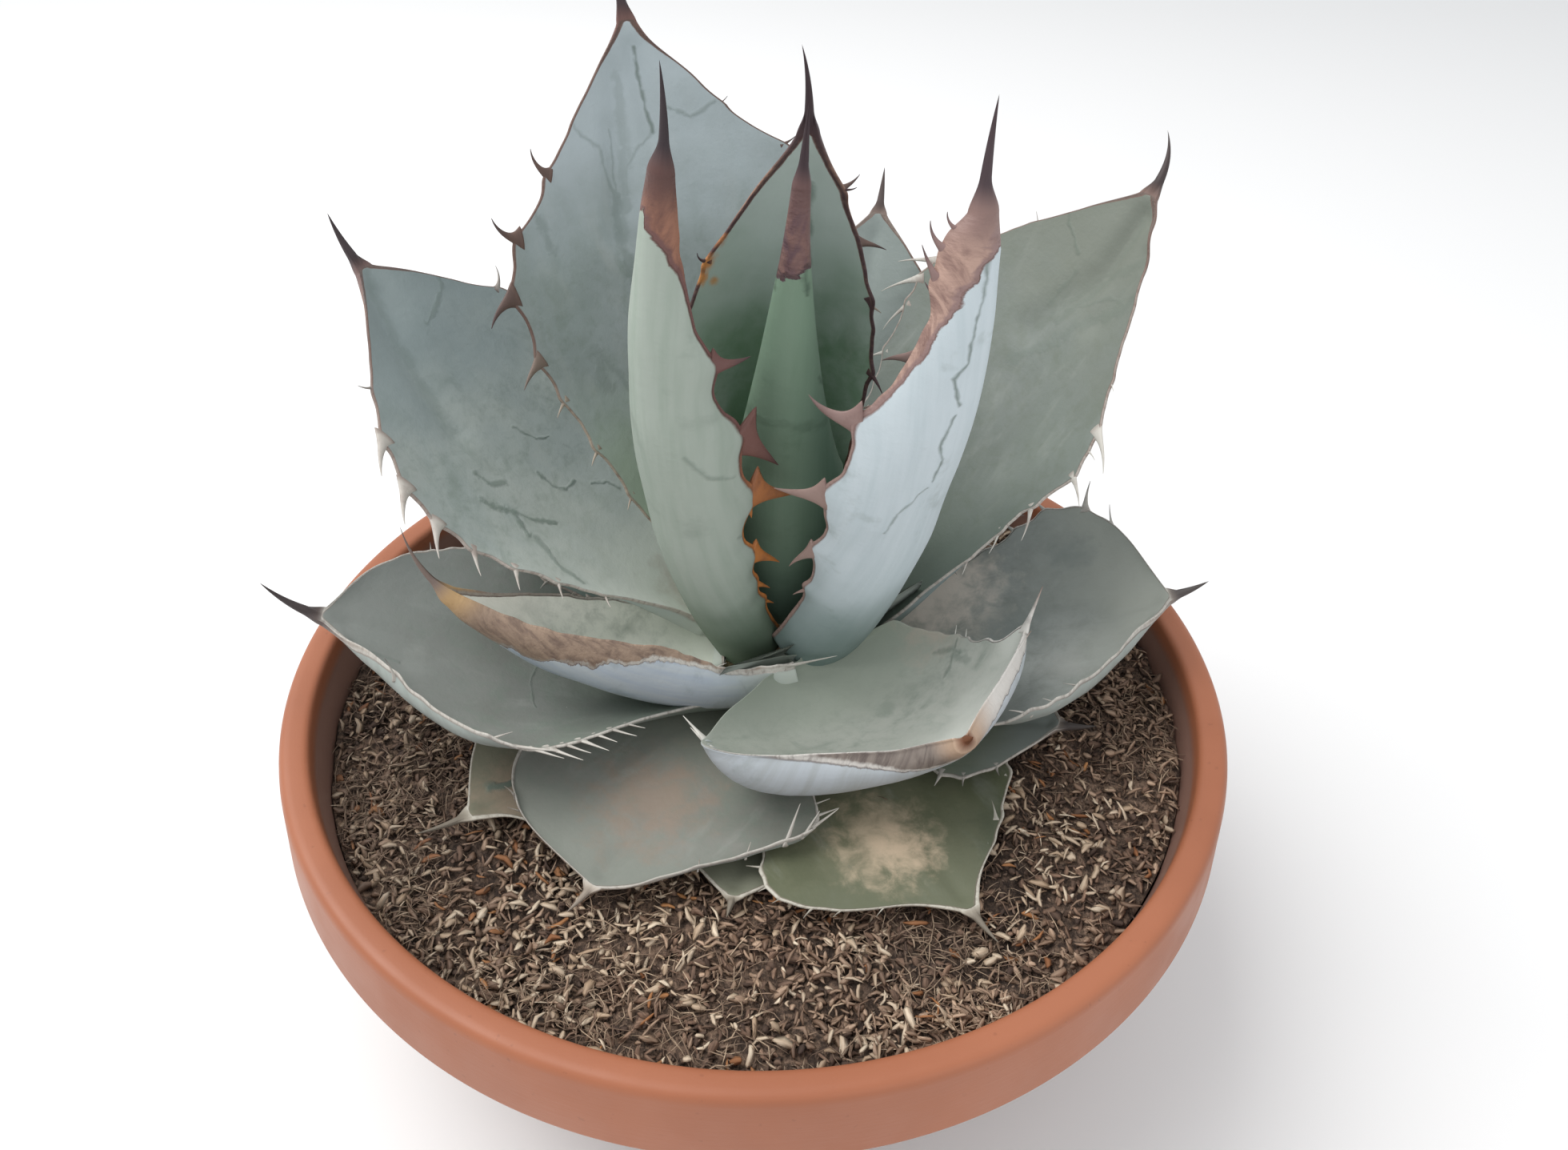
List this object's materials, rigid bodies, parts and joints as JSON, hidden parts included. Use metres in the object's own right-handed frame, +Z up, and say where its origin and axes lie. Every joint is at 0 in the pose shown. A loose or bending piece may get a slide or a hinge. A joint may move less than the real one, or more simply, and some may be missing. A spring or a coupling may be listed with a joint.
{
  "type": "potted agave",
  "caption": "Potted succulent with a rosette of thick, cupped, blue-grey leaves with toothed margins and end spines, in bark soil in a wide shallow bowl.",
  "frame": {"origin": "centre of the bowl's flat underside", "axes": "+Z up, -Y towards the front of the plant, +X to the right seen from the front"},
  "size_m": [0.302, 0.302, 0.3133],
  "materials": {
    "bowl": "satin",
    "soil": "matte",
    "stem": "matte",
    "leaf": "matte",
    "young_leaf": "matte",
    "old_leaf": "matte"
  },
  "bodies": {
    "root": {"bowl": "bowl", "soil": "soil", "stem": "stem", "leaf_01_bud": "young_leaf", "leaf_02_centre_back": "young_leaf", "leaf_03_upright_left": "leaf", "leaf_04_upright_right": "leaf", "leaf_05_tall_back": "leaf", "leaf_06_right": "leaf", "leaf_07_left": "leaf", "leaf_08_back_right": "leaf", "leaf_09_boat_left": "leaf", "leaf_10_front_right": "leaf", "leaf_11_low_left": "leaf", "leaf_12_low_right": "leaf", "leaf_13_back": "leaf", "leaf_14_back_left": "leaf", "leaf_15_back_right": "leaf", "leaf_16_low_front": "leaf", "leaf_17_lowest_left": "old_leaf", "leaf_18_lowest_front": "old_leaf", "leaf_19_lowest_right": "leaf", "leaf_20_lowest_middle": "old_leaf", "leaf_21_lowest_back": "leaf", "leaf_22_lowest_back_left": "leaf", "leaf_23_lowest_back_right": "leaf", "leaf_24_lowest_far_left": "leaf"}
  },
  "joints": []
}
